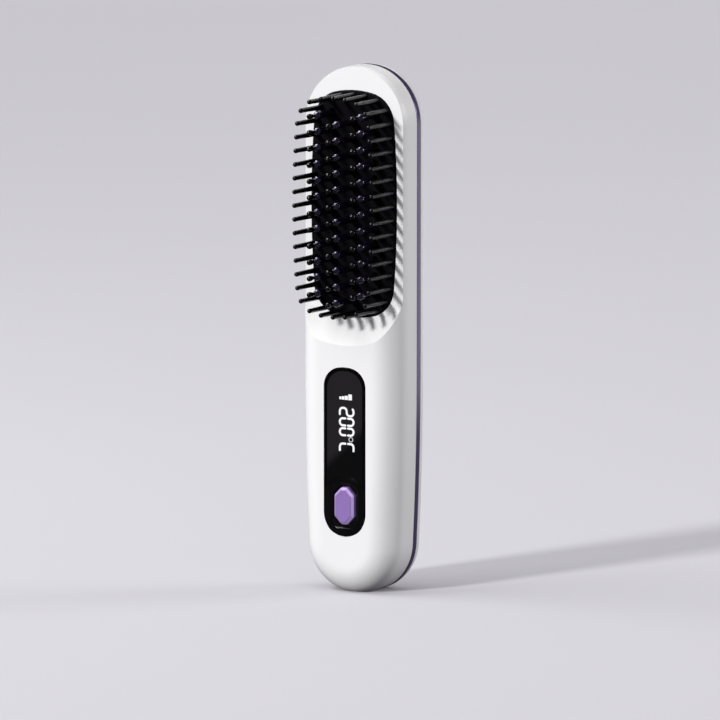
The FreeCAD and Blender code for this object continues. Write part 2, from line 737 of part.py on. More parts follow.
def front_pilots():
    """Screw holes in those bosses."""
    items = []
    for side, sign in MIRRORED:
        for end in ("board_screw_top", "board_screw_bottom"):
            items.append(rod(f"pilot_{end}_{side}", "Sizes.screw_radius + Sizes.screw_gap",
                             f"{sign}Sizes.board_screw_column", ref(end), ref("board_front"),
                             f"{ref('board_back')} + Sizes.screw_length + Sizes.screw_gap"))
        items.append(rod(f"case_pilot_{side}", "Sizes.case_screw_radius + Sizes.screw_gap",
                         f"{sign}Sizes.case_screw_column", ref("case_screw_height"), ref("band_back"),
                         f"{ref('case_screw_seat')} + Sizes.case_screw_length + Sizes.screw_gap"))
    return items


def make_front_shell():
    outer = front_outer_form()
    shell = cut("front_wall", outer, front_cavity_form())
    bosses = common("front_bosses", fuse("front_boss_rods", front_bosses()), outer)
    through = f"{ref('front_depth')} + Sizes.button_proud"
    behind = f"{ref('cavity_depth')} - Sizes.wall"
    window = "(Sizes.display_width / 2 + Sizes.display_gap)"
    openings = [
        prism("plate_opening", draw_plate, f"{ref('head_floor')} - Sizes.wall",
              f"{ref('plate_front')} + Sizes.wall", "fit_gap"),
        prism("lens_recess", draw_panel, ref("recess_floor"), through, "lens_gap"),
        prism("button_opening", draw_octagon, behind, through,
              "button_hole_half", "button_hole_bottom", "button_hole_top", "button_hole_cut"),
        block("display_opening", (f"-{window}", window), (behind, through),
              (f"{ref('display_bottom')} - Sizes.display_gap",
               f"{ref('display_top')} + Sizes.display_gap")),
        prism("usb_opening", draw_usb_slot, "-Sizes.wall", "2 * Sizes.wall",
              "usb_slot_half", "usb_slot_thick", role="XY_Plane"),
    ]
    whole = fuse("front_whole", [shell, bosses])
    keep(cut("front_finished", whole, fuse("front_openings", openings + front_pilots())), "front_shell")


def make_accent_band():
    body = new_body("accent_ring")
    ring = pad(body, draw_outline, ref("band_back"), "0")
    for depth in (0.0, -value("band_width")):
        ring = dress(body, "Fillet", ring, edges_at_depth(ring, depth), ref("band_edge"))
    hole = prism("band_hole", draw_outline, ref("band_back"), "0", "band_thickness")
    keep(cut("band_finished", body, fuse("band_waste", [hole, ground_tool("band_ground")])), "accent_band")


def cover_tabs():
    """Locating tabs that reach past the band into the front shell."""
    items = []
    outer = f"({ref('half_width')} - Sizes.band_thickness - Sizes.tab_gap)"
    inner = f"({outer} - Sizes.tab_thickness)"
    first = "(Sizes.handle_length + Sizes.tab_first)"
    last = f"({ref('top_centre')} - Sizes.tab_length)"
    step = f"(({last} - {first}) / 2)"
    for number in range(3):
        middle = f"({first} + {number} * {step})"
        for side, sign in MIRRORED:
            span = (inner, outer) if side == "right" else (f"-{outer}", f"-{inner}")
            items.append(block(f"tab_{side}_{number}", span, (ref("rear_face"), "Sizes.tab_reach"),
                               (f"{middle} - Sizes.tab_length / 2", f"{middle} + Sizes.tab_length / 2")))
    return items


def make_rear_cover():
    body = new_body("rear_outer")
    form = pad(body, draw_outline, ref("rear_face"), ref("band_back"))
    dress(body, "Fillet", form, edges_at_depth(form, -value("rear_depth")), ref("rear_round"))
    hollow = new_body("rear_cavity")
    space = pad(hollow, draw_outline, ref("cover_inside"), ref("band_back"), "wall")
    dress(hollow, "Fillet", space, edges_at_depth(space, value("cover_inside")), ref("rear_cavity_round"))
    reach = prism("rear_reach", draw_outline, ref("band_back"), "Sizes.tab_reach", "wall")
    envelope = fuse("rear_envelope", [body, reach])
    posts = []
    holes = [ground_tool("rear_ground")]
    for side, sign in MIRRORED:
        where = (f"{sign}Sizes.case_screw_column", ref("case_screw_height"))
        posts.append(rod(f"post_{side}", ref("case_boss_radius"), *where,
                         ref("rear_face"), ref("band_back")))
        holes.append(rod(f"clear_{side}", "Sizes.case_screw_radius + 2 * Sizes.screw_gap", *where,
                         ref("rear_face"), ref("band_back")))
        seat = ref("case_screw_seat")
        holes.append(cone(f"sink_{side}", "Sizes.case_screw_head_radius + Sizes.screw_gap",
                          "Sizes.case_screw_radius + Sizes.screw_gap", *where, seat,
                          f"{seat} + Sizes.case_screw_head_height"))
        holes.append(rod(f"mouth_{side}", "Sizes.case_screw_head_radius + Sizes.screw_gap", *where,
                         f"{ref('rear_face')} - Sizes.wall", seat))
    fittings = common("rear_fittings", fuse("rear_fitting_rods", posts + cover_tabs()), envelope)
    whole = fuse("rear_whole", [cut("rear_wall", body, hollow), fittings])
    keep(cut("rear_finished", whole, fuse("rear_holes", holes)), "rear_cover")


# Bristle head

def tooth_places():
    """(x, height, reach) of each heated tooth: the middle column is taller and half a step lower."""
    rows = int(value("tooth_rows"))
    first = value("plate_top") - value("tooth_top_margin")
    last = value("plate_bottom") + value("tooth_bottom_margin")
    pitch = (first - last) / (rows - 0.5)
    column = value("tooth_column")
    reach = value("tooth_reach")
    spots = []
    for row in range(rows):
        height = first - row * pitch
        spots.append((-column, height, reach))
        spots.append((0.0, height - pitch / 2, reach + value("tooth_crown")))
        spots.append((column, height, reach))
    return spots


def along_arcs(arcs, distance):
    """The (x, height) at a distance along a chain of arcs."""
    rest = list(arcs)
    while len(rest) > 1 and distance > rest[0][1] * (rest[0][3] - rest[0][2]):
        _, radius, start, end = rest.pop(0)
        distance -= radius * (end - start)
    (x, height), radius, start, _ = rest[0]
    angle = start + distance / radius
    return x + radius * math.cos(angle), height + radius * math.sin(angle)


def bristle_places():
    """(x, height) at even steps round the plate, from the middle of its foot up both halves."""
    arcs = plate_arcs(-value("bristle_inset"))
    half_round = sum(radius * (end - start) for _, radius, start, end in arcs)
    steps = int(value("bristle_count")) // 2
    spots = []
    for number in range(steps + 1):
        x, height = along_arcs(arcs, half_round * number / steps)
        spots.append((x, height))
        if 0 < number < steps:
            spots.append((-x, height))
    return spots


def turned(profile, dome=None):
    """A pin along +Z from (radius, height) points, closed flat or by a dome of the given height."""
    points = [FreeCAD.Vector(radius, 0, height) for radius, height in profile]
    rim_radius, rim_height = profile[-1]
    tip = FreeCAD.Vector(0, 0, rim_height + (dome or 0))
    edges = [Part.LineSegment(one, two).toShape() for one, two in zip(points, points[1:])]
    if dome:
        sphere = (rim_radius ** 2 + dome ** 2) / (2 * dome)
        half_turn = math.asin(rim_radius / sphere) / 2
        centre = rim_height + dome - sphere
        middle = FreeCAD.Vector(sphere * math.sin(half_turn), 0, centre + sphere * math.cos(half_turn))
        edges.append(Part.Arc(points[-1], middle, tip).toShape())
    else:
        edges.append(Part.LineSegment(points[-1], tip).toShape())
    edges.append(Part.LineSegment(tip, points[0]).toShape())
    face = Part.Face(Part.Wire(edges))
    return face.revolve(FreeCAD.Vector(), FreeCAD.Vector(0, 0, 1), 360)


def standing(shape, x, depth, height, rotation=FACING_FRONT):
    copy = shape.copy()
    copy.Placement = FreeCAD.Placement(FreeCAD.Vector(x, -depth, height), rotation)
    return copy


def make_bristle_plate():
    """Comb frame: a plate in the head's opening, a flange behind it and four posts for the heater."""
    body = new_body("comb_plate")
    front = value("plate_front")
    plate = pad(body, draw_plate, ref("head_floor"), ref("plate_front"))
    dress(body, "Fillet", plate, edges_at_depth(plate, front), ref("plate_edge"))
    pad(body, draw_plate, ref("flange_back"), ref("head_floor"), "flange_width")
    posts = []
    holes = []
    for side, sign in MIRRORED:
        for end in ("post_top", "post_bottom"):
            where = (f"{sign}Sizes.post_column", ref(end))
            posts.append(rod(f"comb_{end}_{side}", ref("post_radius"), *where, ref("mica_back"),
                             ref("flange_back")))
            holes.append(rod(f"comb_pilot_{end}_{side}", "Sizes.screw_radius + Sizes.screw_gap", *where,
                             ref("mica_back"),
                             f"{ref('clamp_back')} + Sizes.screw_length + Sizes.screw_gap"))
    radius = value("tooth_radius") + value("tooth_air_gap")
    depth = value("plate_front") - value("flange_back") + 2 * value("wall")
    drill = Part.makeCylinder(radius, depth)
    start = value("flange_back") - value("wall")
    drills = [standing(drill, x, start, height) for x, height, _ in tooth_places()]
    slots = solid_group("tooth_holes", drills)
    whole = fuse("comb_whole", [body] + posts)
    keep(cut("comb_finished", whole, fuse("comb_holes", holes + [slots])), "bristle_plate")


def make_edge_bristles():
    """Slender pins that stand on the plate."""
    front = value("plate_front")
    length = value("bristle_reach") - front
    foot = value("bristle_base_radius")
    tip = value("bristle_tip_radius")
    bevel = value("bristle_bevel")
    pin = turned([(0, 0), (foot, 0), (tip, length - bevel), (tip - bevel, length)])
    pins = [standing(pin, x, front, height) for x, height in bristle_places()]
    keep(solid_group("edge_bristles", pins), "edge_bristles")


def make_heated_teeth():
    """Metal teeth on the heating plate, each with an insulating guard tip."""
    base = value("heating_front")
    radius = value("tooth_radius")
    neck = value("tooth_neck_radius")
    guard = value("guard_radius")
    length = value("guard_length")
    dome = value("guard_dome")
    tip = turned([(0, 0), (neck, 0), (guard, value("guard_flare")), (guard, length - dome)], dome)
    teeth = []
    tips = []
    for x, height, reach in tooth_places():
        end = reach - length
        shank = Part.makeCylinder(radius, end - value("tooth_shoulder") - base)
        shoulder = Part.makeCone(radius, neck, value("tooth_shoulder"),
                                 FreeCAD.Vector(0, 0, end - value("tooth_shoulder") - base))
        teeth.append(standing(shank.fuse(shoulder).removeSplitter(), x, base, height))
        tips.append(standing(tip, x, end, height))
    keep(solid_group("heated_teeth", teeth), "heated_teeth")
    keep(solid_group("guard_tips", tips), "guard_tips")


def make_heater_stack():
    plate = prism("heating_blank", draw_rounded_rectangle, ref("heating_back"), ref("heating_front"),
                  "heating_half", "heating_bottom", "heating_top", "heating_corner")
    clamp = block("clamp_blank", ("-Sizes.clamp_width / 2", "Sizes.clamp_width / 2"),
                  (ref("clamp_back"), ref("mica_back")), (ref("clamp_bottom"), ref("clamp_top")))
    post_holes = []
    screw_holes = []
    for side, sign in MIRRORED:
        for end in ("post_top", "post_bottom"):
            where = (f"{sign}Sizes.post_column", ref(end))
            post_holes.append(rod(f"post_hole_{end}_{side}", "Sizes.post_radius + Sizes.post_gap", *where,
                                  f"{ref('heating_back')} - Sizes.wall",
                                  f"{ref('heating_front')} + Sizes.wall"))
            screw_holes.append(rod(f"clamp_hole_{end}_{side}", "Sizes.screw_radius + Sizes.screw_gap",
                                   *where, f"{ref('clamp_back')} - Sizes.wall",
                                   f"{ref('mica_back')} + Sizes.wall"))
    keep(cut("heating_finished", plate, fuse("heating_holes", post_holes)), "heating_plate")
    keep(cut("clamp_finished", clamp, fuse("clamp_holes", screw_holes)), "heater_clamp")
    keep(block("heater_bar", ("-Sizes.heater_width / 2", "Sizes.heater_width / 2"),
               (ref("heater_back"), ref("heating_back")), (ref("heater_bottom"), ref("heater_top"))),
         "ceramic_heater")
    keep(block("mica", ("-Sizes.mica_width / 2", "Sizes.mica_width / 2"),
               (ref("mica_back"), ref("heater_back")), (ref("clamp_bottom"), ref("clamp_top"))),
         "mica_sheet")
    middle = f"(({ref('heater_top')} + {ref('heater_bottom')}) / 2)"
    keep(upright("sensor", "Sizes.heater_thickness / 2 - Sizes.contact_gap",
                 "Sizes.heater_width / 2 + Sizes.heater_thickness", ref("gap_middle"),
                 f"{middle} - Sizes.sensor_length / 2", f"{middle} + Sizes.sensor_length / 2"),
         "temperature_sensor")
    keep(upright("cut_out", ref("fuse_radius"), "0",
                 f"{ref('clamp_back')} - Sizes.fuse_radius - Sizes.contact_gap",
                 f"{middle} - Sizes.fuse_length / 2", f"{middle} + Sizes.fuse_length / 2"), "thermal_fuse")


def make_heater_leads():
    """Two leads from the heater down to the main board, with one bend each."""
    radius = value("lead_radius")
    bend = value("lead_bend")
    depth = value("gap_middle")
    end_depth = value("board_back") - value("stack_gap")
    end_height = value("cradle_top") + value("lead_clear") + radius
    leads = []
    for sign in (-1, 1):
        x = sign * value("lead_spacing") / 2
        corner = FreeCAD.Vector(x, -depth - bend, end_height + bend)
        start = FreeCAD.Vector(x, -depth, value("heater_bottom"))
        bend_start = FreeCAD.Vector(x, -depth, end_height + bend)
        bend_middle = corner + FreeCAD.Vector(0, bend, -bend) * math.sqrt(0.5)
        bend_end = FreeCAD.Vector(x, -depth - bend, end_height)
        end = FreeCAD.Vector(x, -end_depth, end_height)
        path = Part.Wire([Part.LineSegment(start, bend_start).toShape(),
                          Part.Arc(bend_start, bend_middle, bend_end).toShape(),
                          Part.LineSegment(bend_end, end).toShape()])
        section = Part.Wire(Part.Circle(start, FreeCAD.Vector(0, 0, 1), radius).toShape())
        lead = path.makePipeShell([section], True, False)
        expected = math.pi * radius ** 2 * path.Length
        if abs(lead.Volume - expected) > 0.01 * expected:
            raise RuntimeError("a heater lead does not fill its section along its length")
        leads.append(lead)
    keep(solid_group("heater_leads", leads), "heater_leads")


# Control panel

def make_lens():
    body = new_body("lens_blank")
    front = value("front_depth")
    lens = pad(body, draw_panel, ref("lens_back"), ref("front_depth"))
    lens = dress(body, "Chamfer", lens, edges_at_depth(lens, front), ref("lens_edge"))
    lens = pocket(body, draw_octagon, f"{ref('lens_back')} - Sizes.wall", ref("front_depth"),
                  "button_hole_half", "button_hole_bottom", "button_hole_top", "button_hole_cut")
    reach = value("button_hole_half") + value("lens_gap")
    rim = edges_at_depth(lens, front, (reach, value("button_hole_bottom") - value("lens_gap"),
                                       value("button_hole_top") + value("lens_gap")))
    dress(body, "Chamfer", lens, rim, ref("button_well"))
    keep(body, "display_lens")


def make_adhesive():
    blank = prism("adhesive_blank", draw_panel, ref("recess_floor"), ref("lens_back"))
    window = prism("adhesive_window", draw_panel, f"{ref('recess_floor')} - Sizes.wall", ref("front_depth"),
                   "adhesive_width", "-")
    keep(cut("adhesive_finished", blank, window), "lens_adhesive")


def make_power_button():
    body = new_body("button_blank")
    cap = pad(body, draw_octagon, ref("button_flange_front"), ref("button_front"),
              "button_half", "button_bottom", "button_top", "button_cut")
    cap = dress(body, "Fillet", cap, edges_along_depth(cap), ref("button_round"))
    dress(body, "Chamfer", cap, edges_at_depth(cap, value("button_front")), ref("button_bevel"))
    pad(body, draw_octagon, ref("button_back"), ref("button_flange_front"),
        "button_flange_half", "button_flange_bottom", "button_flange_top", "button_flange_cut")
    keep(body, "power_button")


def make_display():
    keep(block("display_box", ("-Sizes.display_width / 2", "Sizes.display_width / 2"),
               (ref("board_front"), f"{ref('lens_back')} - Sizes.contact_gap"),
               (ref("display_bottom"), ref("display_top"))), "display_module")


# Electronics in the handle

def screw_pair_grid(name, column, heights, seat):
    """Pan-head screws, two at each height, whose heads seat on a face at the given depth."""
    parts = []
    for side, sign in MIRRORED:
        for end in heights:
            where = (f"{sign}{column}", ref(end))
            parts.append(rod(f"{name}_head_{end}_{side}", ref("screw_head_radius"), *where,
                             f"{seat} - Sizes.screw_head_height", seat))
            parts.append(rod(f"{name}_shank_{end}_{side}", ref("screw_radius"), *where, seat,
                             f"{seat} + Sizes.screw_length"))
    return fuse(f"{name}_group", parts)


def make_main_board():
    blank = block("board_blank", ("-Sizes.board_width / 2", "Sizes.board_width / 2"),
                  (ref("board_back"), ref("board_front")), (ref("board_bottom"), ref("board_top")))
    holes = []
    for side, sign in MIRRORED:
        for end in ("board_screw_top", "board_screw_bottom"):
            holes.append(rod(f"board_hole_{end}_{side}", "Sizes.screw_radius + 2 * Sizes.screw_gap",
                             f"{sign}Sizes.board_screw_column", ref(end),
                             f"{ref('board_back')} - Sizes.wall", f"{ref('board_front')} + Sizes.wall"))
    keep(cut("board_finished", blank, fuse("board_holes", holes)), "main_board")
    keep(screw_pair_grid("board_screw", "Sizes.board_screw_column",
                         ("board_screw_top", "board_screw_bottom"), ref("board_back")), "board_screws")
    keep(screw_pair_grid("heater_screw", "Sizes.post_column", ("post_top", "post_bottom"),
                         ref("clamp_back")), "heater_screws")


def make_switch():
    """Tact switch under the button: a body with a blind hole and the plunger in it."""
    half = "Sizes.switch_width / 2"
    blank = block("switch_blank", (f"-{half}", half), (ref("board_front"), ref("switch_front")),
                  (f"{ref('button_middle')} - {half}", f"{ref('button_middle')} + {half}"))
    well = rod("switch_well", "Sizes.plunger_radius + Sizes.plunger_gap", "0", ref("button_middle"),
               f"{ref('board_front')} + Sizes.plunger_gap", f"{ref('switch_front')} + Sizes.wall")
    keep(cut("switch_finished", blank, well), "switch_body")
    keep(rod("plunger", ref("plunger_radius"), "0", ref("button_middle"), ref("plunger_back"),
             ref("plunger_front")), "switch_plunger")


def make_battery():
    cells = []
    for side, sign in MIRRORED:
        cells.append(upright(f"cell_{side}", ref("cell_radius"), f"{sign}{ref('cell_column')}",
                             ref("cell_depth"), ref("cell_bottom"), ref("cell_top")))
    keep(fuse("cell_pair", cells), "battery_cells")
    base = block("cradle_floor_plate", ("-Sizes.cradle_base_width / 2", "Sizes.cradle_base_width / 2"),
                 (ref("cradle_floor"), ref("cradle_front")), (ref("cradle_bottom"), ref("cradle_top")))
    across = (f"-{ref('cell_side')}", ref("cell_side"))
    through = (ref("cell_back"), ref("cradle_floor"))
    lower = block("cradle_lower_end", across, through,
                  (ref("cradle_bottom"), f"{ref('cradle_bottom')} + Sizes.cradle_end"))
    upper = block("cradle_upper_end", across, through,
                  (f"{ref('cradle_top')} - Sizes.cradle_end", ref("cradle_top")))
    keep(fuse("cradle_whole", [base, lower, upper]), "battery_cradle")
    half = "Sizes.link_width / 2"
    strip = (f"{ref('cell_depth')} - {half}", f"{ref('cell_depth')} + {half}")
    both = (f"-{ref('cell_column')} - {half}", f"{ref('cell_column')} + {half}")
    links = [block("link_lower", both, strip,
                   (f"{ref('cell_bottom')} - Sizes.link_thickness", ref("cell_bottom")))]
    for side, sign in MIRRORED:
        middle = f"{sign}{ref('cell_column')}"
        links.append(block(f"link_upper_{side}", (f"{middle} - {half}", f"{middle} + {half}"), strip,
                           (ref("cell_top"), f"{ref('cell_top')} + Sizes.link_thickness")))
    keep(fuse("link_group", links), "cell_links")


def make_charging_socket():
    shell = new_body("usb_tube")
    pad(shell, draw_usb_slot, ref("usb_recess"), ref("usb_top"),
        "usb_half", "usb_thick_half", role="XY_Plane")
    root = ref("tongue_root")
    hollow = prism("usb_hollow", draw_usb_slot, "-Sizes.wall", root,
                   "usb_inner_half", "usb_inner_thick", role="XY_Plane")
    keep(cut("usb_finished", shell, hollow), "usb_shell")
    thick = "Sizes.tongue_thickness / 2"
    keep(block("tongue", ("-Sizes.tongue_width / 2", "Sizes.tongue_width / 2"),
               (f"Sizes.usb_depth - {thick}", f"Sizes.usb_depth + {thick}"),
               (f"{root} - Sizes.tongue_length", root)), "usb_tongue")
    keep(block("charge_plate", ("-Sizes.charge_board_width / 2", "Sizes.charge_board_width / 2"),
               (ref("charge_board_back"), ref("charge_board_front")),
               (ref("charge_board_bottom"), "Sizes.charge_board_bottom + Sizes.charge_board_length")),
         "charge_board")


def make_case_screws():
    """Two countersunk screws from the rear cover into the front shell's bosses."""
    parts = []
    for side, sign in MIRRORED:
        where = (f"{sign}Sizes.case_screw_column", ref("case_screw_height"))
        seat = ref("case_screw_seat")
        parts.append(cone(f"case_head_{side}", ref("case_screw_head_radius"), ref("case_screw_radius"),
                          *where, seat, f"{seat} + Sizes.case_screw_head_height"))
        parts.append(rod(f"case_shank_{side}", ref("case_screw_radius"), *where,
                         f"{seat} + Sizes.case_screw_head_height", f"{seat} + Sizes.case_screw_length"))
    keep(fuse("case_screw_group", parts), "case_screws")


make_front_shell()
make_accent_band()
make_rear_cover()
make_bristle_plate()
make_edge_bristles()
make_heated_teeth()
make_heater_stack()
make_heater_leads()
make_lens()
make_adhesive()
make_power_button()
make_display()
make_main_board()
make_switch()
make_battery()
make_charging_socket()
make_case_screws()
doc.recompute()

for item in doc.Objects:
    if "Invalid" in item.State or "Error" in item.State:
        raise RuntimeError(f"{item.Label} failed: {item.State}")
for node in nodes:
    if node.Shape.isNull() or not node.Shape.isValid() or not node.Shape.Solids:
        raise RuntimeError(f"{node.Label} has no valid solid")

os.makedirs("parts", exist_ok=True)
for node in nodes:
    node.Shape.exportStep(os.path.join("parts", f"{node.Label}.step"))
    print(node.Label, len(node.Shape.Solids), round(node.Shape.Volume, 2))
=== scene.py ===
import math

import bpy
from mathutils import Matrix, Vector


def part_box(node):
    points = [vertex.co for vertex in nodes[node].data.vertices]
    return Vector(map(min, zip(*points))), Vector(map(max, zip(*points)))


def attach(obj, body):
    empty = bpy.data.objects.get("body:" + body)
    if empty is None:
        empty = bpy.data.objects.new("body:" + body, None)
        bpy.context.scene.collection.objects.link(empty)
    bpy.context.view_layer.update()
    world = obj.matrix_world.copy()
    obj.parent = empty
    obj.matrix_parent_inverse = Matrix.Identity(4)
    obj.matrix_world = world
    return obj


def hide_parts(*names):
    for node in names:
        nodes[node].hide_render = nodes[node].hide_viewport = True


# Cordless hot styling brush on its foot. X runs across, +Z up, bristles face -Y.
# Shapes on the brush are written in millimetres and turned into metres where a mesh or a shader
# needs them. The floor, the lamps and the camera are placed in metres.

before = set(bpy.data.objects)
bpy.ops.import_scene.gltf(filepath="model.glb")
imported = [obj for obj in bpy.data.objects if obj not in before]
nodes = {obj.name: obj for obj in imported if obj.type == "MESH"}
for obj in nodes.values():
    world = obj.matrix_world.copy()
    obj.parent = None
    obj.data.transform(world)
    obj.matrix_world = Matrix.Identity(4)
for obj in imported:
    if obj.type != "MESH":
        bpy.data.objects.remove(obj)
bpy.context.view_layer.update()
MM = 0.001


def point(x, depth, z):
    """A place from its width, its depth in front of the parting plane and its height."""
    return Vector((x, -depth, z)) * MM


def new_object(name, vertices, faces, smooth=True):
    mesh = bpy.data.meshes.new(name)
    mesh.from_pydata([tuple(v) for v in vertices], [], faces)
    mesh.update()
    for polygon in mesh.polygons:
        polygon.use_smooth = smooth
    item = bpy.data.objects.new(name, mesh)
    bpy.context.scene.collection.objects.link(item)
    return item


# Shader helpers

NOISE_LOW, NOISE_HIGH = 0.3, 0.7  # most of a noise lies between these
CLOUD_DETAIL, GLOSS_DETAIL, GRAIN_DETAIL = 3.0, 4.0, 2.0
GLOSS_PER_CLOUD = 7.0
GRAIN, GRAIN_STRENGTH = 2200.0, 0.25


def feed(tree, socket, value):
    """Links a socket to another one, or sets it to a plain value."""
    if isinstance(value, bpy.types.NodeSocket):
        tree.links.new(value, socket)
    else:
        socket.default_value = value


def math_node(tree, operation, first, second=0.0):
    node = tree.nodes.new("ShaderNodeMath")
    node.operation = operation
    feed(tree, node.inputs[0], first)
    feed(tree, node.inputs[1], second)
    return node.outputs[0]


def ramp(tree, value, low, high, to_low, to_high):
    """Smooth step of a value from one range to another."""
    node = tree.nodes.new("ShaderNodeMapRange")
    node.interpolation_type = "SMOOTHSTEP"
    for socket, number in zip(node.inputs, (value, low, high, to_low, to_high)):
        feed(tree, socket, number)
    return node.outputs[0]


def object_place(tree):
    return tree.nodes.new("ShaderNodeTexCoord").outputs["Object"]


def object_axes(tree):
    """The outputs X, Y and Z of the object's own coordinates, in metres."""
    axes = tree.nodes.new("ShaderNodeSeparateXYZ")
    tree.links.new(object_place(tree), axes.inputs[0])
    return axes.outputs


def noise(tree, scale, detail=2.0, stretch=(1.0, 1.0, 1.0)):
    """Noise over the object's own coordinates; the scale counts lumps per metre."""
    mapping = tree.nodes.new("ShaderNodeMapping")
    mapping.inputs["Scale"].default_value = stretch
    texture = tree.nodes.new("ShaderNodeTexNoise")
    texture.inputs["Scale"].default_value = scale
    texture.inputs["Detail"].default_value = detail
    tree.links.new(object_place(tree), mapping.inputs["Vector"])
    tree.links.new(mapping.outputs["Vector"], texture.inputs["Vector"])
    return texture.outputs["Fac"]


def mixed(tree, factor, first, second):
    node = tree.nodes.new("ShaderNodeMix")
    node.data_type = "RGBA"
    feed(tree, node.inputs["Factor"], factor)
    for socket, colour in ((node.inputs["A"], first), (node.inputs["B"], second)):
        feed(tree, socket, colour if isinstance(colour, bpy.types.NodeSocket) else (*colour, 1.0))
    return node.outputs["Result"]


def towards(tree, vector, way):
    """How far a vector reaches one way."""
    node = tree.nodes.new("ShaderNodeVectorMath")
    node.operation = "DOT_PRODUCT"
    tree.links.new(vector, node.inputs[0])
    node.inputs[1].default_value = Vector(way).normalized()
    return node.outputs["Value"]


def relief(tree, height, strength, distance):
    node = tree.nodes.new("ShaderNodeBump")
    node.inputs["Strength"].default_value = strength
    node.inputs["Distance"].default_value = distance * MM
    tree.links.new(height, node.inputs["Height"])
    return node.outputs["Normal"]


def new_material(name, **sockets):
    """A material whose shader sockets are named in lower case, such as specular_ior_level."""
    material = bpy.data.materials.new(name)
    material.use_nodes = True
    tree = material.node_tree
    shader = tree.nodes["Principled BSDF"]
    for socket, value in sockets.items():
        title = socket.replace("_", " ").title().replace("Ior", "IOR")
        shader.inputs[title].default_value = value
    return material, tree, shader


def uneven_gloss(tree, shader, scale, gloss, stretch=(1, 1, 1)):
    """Roughness that wanders between two values."""
    patches = noise(tree, scale, GLOSS_DETAIL, stretch)
    feed(tree, shader.inputs["Roughness"], ramp(tree, patches, NOISE_LOW, NOISE_HIGH, *gloss))


def surface(name, tone, other_tone, gloss, grain=GRAIN, depth=0.02, cloud=45.0, stretch=(1, 1, 1),
            **sockets):
    """A moulded or coated surface: two close tones, uneven gloss and a fine raised grain."""
    material, tree, shader = new_material(name, **sockets)
    tones = mixed(tree, noise(tree, cloud, CLOUD_DETAIL), tone, other_tone)
    feed(tree, shader.inputs["Base Color"], tones)
    uneven_gloss(tree, shader, cloud * GLOSS_PER_CLOUD, gloss, stretch)
    height = noise(tree, grain, GRAIN_DETAIL, stretch)
    feed(tree, shader.inputs["Normal"], relief(tree, height, GRAIN_STRENGTH, depth))
    return material


# Materials

WHITE = surface("white_moulding", (0.86, 0.855, 0.86), (0.885, 0.88, 0.885), gloss=(0.30, 0.36),
                depth=0.012, specular_ior_level=0.28)
LAVENDER = surface("lavender_band", (0.130, 0.094, 0.215), (0.112, 0.080, 0.190),
                   gloss=(0.16, 0.22), depth=0.004, metallic=0.5, coat_weight=0.3,
                   coat_roughness=0.08)
NYLON = surface("black_nylon", (0.0022, 0.0020, 0.0026), (0.0032, 0.0030, 0.0038),
                gloss=(0.26, 0.32), depth=0.0008, specular_ior_level=0.30)
PLATE = surface("black_plate", (0.0029, 0.0023, 0.0038), (0.0041, 0.0033, 0.0052),
                gloss=(0.50, 0.60), grain=1400.0, depth=0.03, specular_ior_level=0.03)
COATING = surface("ceramic_coating", (0.0060, 0.0038, 0.0135), (0.0085, 0.0055, 0.0180),
                  gloss=(0.11, 0.14), depth=0.0003, ior=1.8, specular_ior_level=0.8,
                  specular_tint=(0.84, 0.79, 1.0, 1.0))
LIP = surface("panel_lip_black", (0.0018, 0.0018, 0.0019), (0.0022, 0.0022, 0.0023),
              gloss=(0.08, 0.11), depth=0.0002, specular_ior_level=0.25)
GUARD = surface("guard_black", (0.0020, 0.0020, 0.0024), (0.0030, 0.0029, 0.0035),
                gloss=(0.10, 0.13), depth=0.0002, specular_ior_level=0.35)
STEEL = surface("plated_steel", (0.56, 0.56, 0.58), (0.50, 0.50, 0.52), gloss=(0.22, 0.34),
                stretch=(1, 1, 12), depth=0.004, metallic=1.0)
ALUMINIUM = surface("bare_aluminium", (0.66, 0.66, 0.68), (0.58, 0.58, 0.60), gloss=(0.30, 0.44),
                    stretch=(8, 1, 1), depth=0.01, metallic=1.0)
CERAMIC = surface("fired_ceramic", (0.80, 0.78, 0.74), (0.74, 0.72, 0.68), gloss=(0.45, 0.60))
MICA = surface("mica", (0.36, 0.30, 0.19), (0.46, 0.40, 0.27), gloss=(0.25, 0.40), cloud=220.0)
GLASS_BEAD = surface("glass_bead", (0.24, 0.07, 0.03), (0.18, 0.05, 0.02), gloss=(0.05, 0.10),
                     depth=0.002)
SILICONE = surface("silicone_sleeve", (0.46, 0.02, 0.015), (0.38, 0.015, 0.012),
                   gloss=(0.50, 0.62))
TAPE = surface("foam_tape", (0.012, 0.012, 0.012), (0.020, 0.020, 0.020), gloss=(0.75, 0.90),
               depth=0.05)
BOARD = surface("solder_mask", (0.012, 0.09, 0.035), (0.016, 0.13, 0.05), gloss=(0.22, 0.32),
                cloud=260.0)
BLACK_PART = surface("black_moulding", (0.012, 0.012, 0.012), (0.020, 0.020, 0.021),
                     gloss=(0.40, 0.52))
IVORY_PART = surface("ivory_moulding", (0.55, 0.53, 0.47), (0.50, 0.48, 0.42), gloss=(0.35, 0.45),
                     depth=0.01)
CELL_FILM = surface("cell_film", (0.02, 0.085, 0.31), (0.025, 0.10, 0.36), gloss=(0.18, 0.28),
                    depth=0.01)


